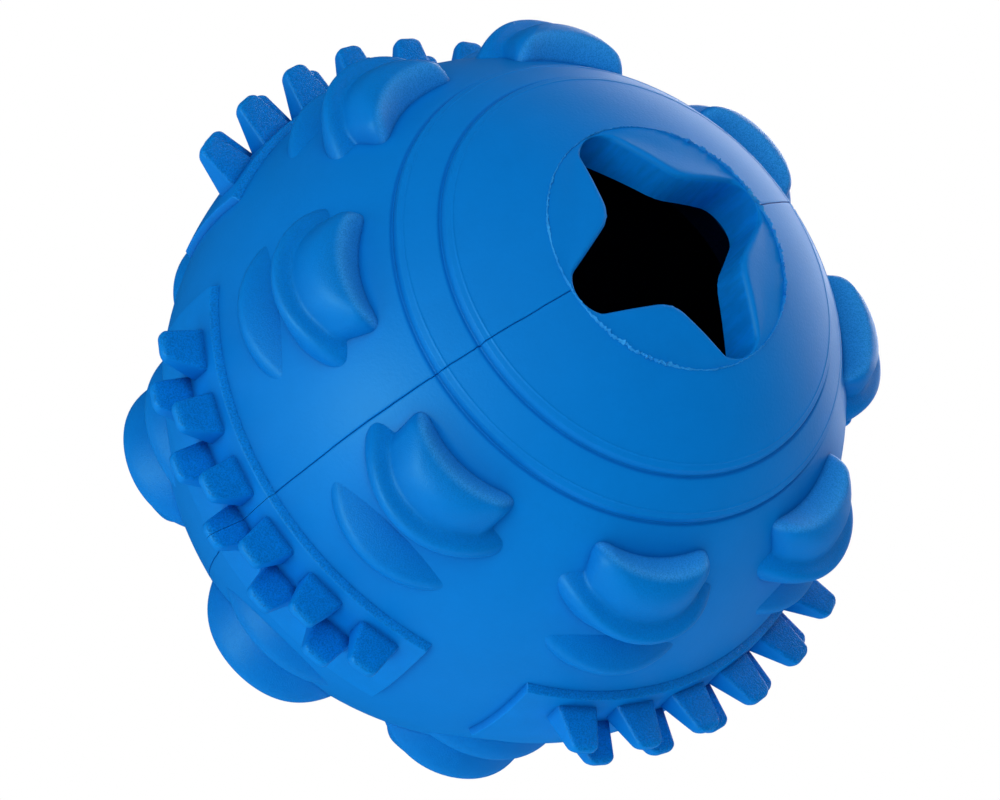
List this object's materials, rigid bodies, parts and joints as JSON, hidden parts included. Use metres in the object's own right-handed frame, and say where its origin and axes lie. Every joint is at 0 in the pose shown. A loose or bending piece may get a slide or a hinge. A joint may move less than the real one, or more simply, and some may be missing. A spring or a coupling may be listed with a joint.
{
  "type": "treat dispensing ball",
  "caption": "Hollow rubber chew ball with a star-shaped mouth of flexible petals for treats, crescent lugs and tooth pads round its equator.",
  "frame": {"origin": "centre of the ball", "axes": "+Z along the axis of the mouth and out of it, +X in the plane of the bond line through the front tooth pad"},
  "size_m": [0.0826, 0.0826, 0.0731],
  "materials": {
    "shell_rubber": "satin",
    "textured_rubber": "matte"
  },
  "bodies": {
    "ball": {"shell_half_left": "shell_rubber", "shell_half_right": "shell_rubber", "tooth_pad_front_left": "textured_rubber", "tooth_pad_front_right": "textured_rubber", "tooth_pad_left": "textured_rubber", "tooth_pad_back_left": "textured_rubber", "tooth_pad_back_right": "textured_rubber", "tooth_pad_right": "textured_rubber", "mouth_lug_1": "textured_rubber", "mouth_lug_2": "textured_rubber", "mouth_lug_3": "textured_rubber", "mouth_lug_4": "textured_rubber", "mouth_lug_5": "textured_rubber", "mouth_lug_6": "textured_rubber", "mouth_lug_7": "textured_rubber", "mouth_lug_8": "textured_rubber", "far_lug_1": "textured_rubber", "far_lug_2": "textured_rubber", "far_lug_3": "textured_rubber", "far_lug_4": "textured_rubber", "far_lug_5": "textured_rubber", "far_lug_6": "textured_rubber", "far_lug_7": "textured_rubber", "far_lug_8": "textured_rubber", "petal_root_1": "shell_rubber", "petal_root_2": "shell_rubber", "petal_root_3": "shell_rubber", "petal_root_4": "shell_rubber"},
    "petal_1": {"mouth_petal_1": "shell_rubber"},
    "petal_2": {"mouth_petal_2": "shell_rubber"},
    "petal_3": {"mouth_petal_3": "shell_rubber"},
    "petal_4": {"mouth_petal_4": "shell_rubber"}
  },
  "joints": [
    {"name": "petal_1_flex", "type": "hinge", "parent": "ball", "child": "petal_1", "pos_m": [0.00847, 0.00992, 0.03342], "axis": [0.7604, -0.6494, 0], "range_deg": [-10, 30], "stiffness_Nm_per_rad": 0.1, "deforming": ["petal_root_1"]},
    {"name": "petal_2_flex", "type": "hinge", "parent": "ball", "child": "petal_2", "pos_m": [-0.00992, 0.00847, 0.03342], "axis": [0.6494, 0.7604, 0], "range_deg": [-10, 30], "stiffness_Nm_per_rad": 0.1, "deforming": ["petal_root_2"]},
    {"name": "petal_3_flex", "type": "hinge", "parent": "ball", "child": "petal_3", "pos_m": [-0.00847, -0.00992, 0.03342], "axis": [-0.7604, 0.6494, 0], "range_deg": [-10, 30], "stiffness_Nm_per_rad": 0.1, "deforming": ["petal_root_3"]},
    {"name": "petal_4_flex", "type": "hinge", "parent": "ball", "child": "petal_4", "pos_m": [0.00992, -0.00847, 0.03342], "axis": [-0.6494, -0.7604, 0], "range_deg": [-10, 30], "stiffness_Nm_per_rad": 0.1, "deforming": ["petal_root_4"]}
  ]
}
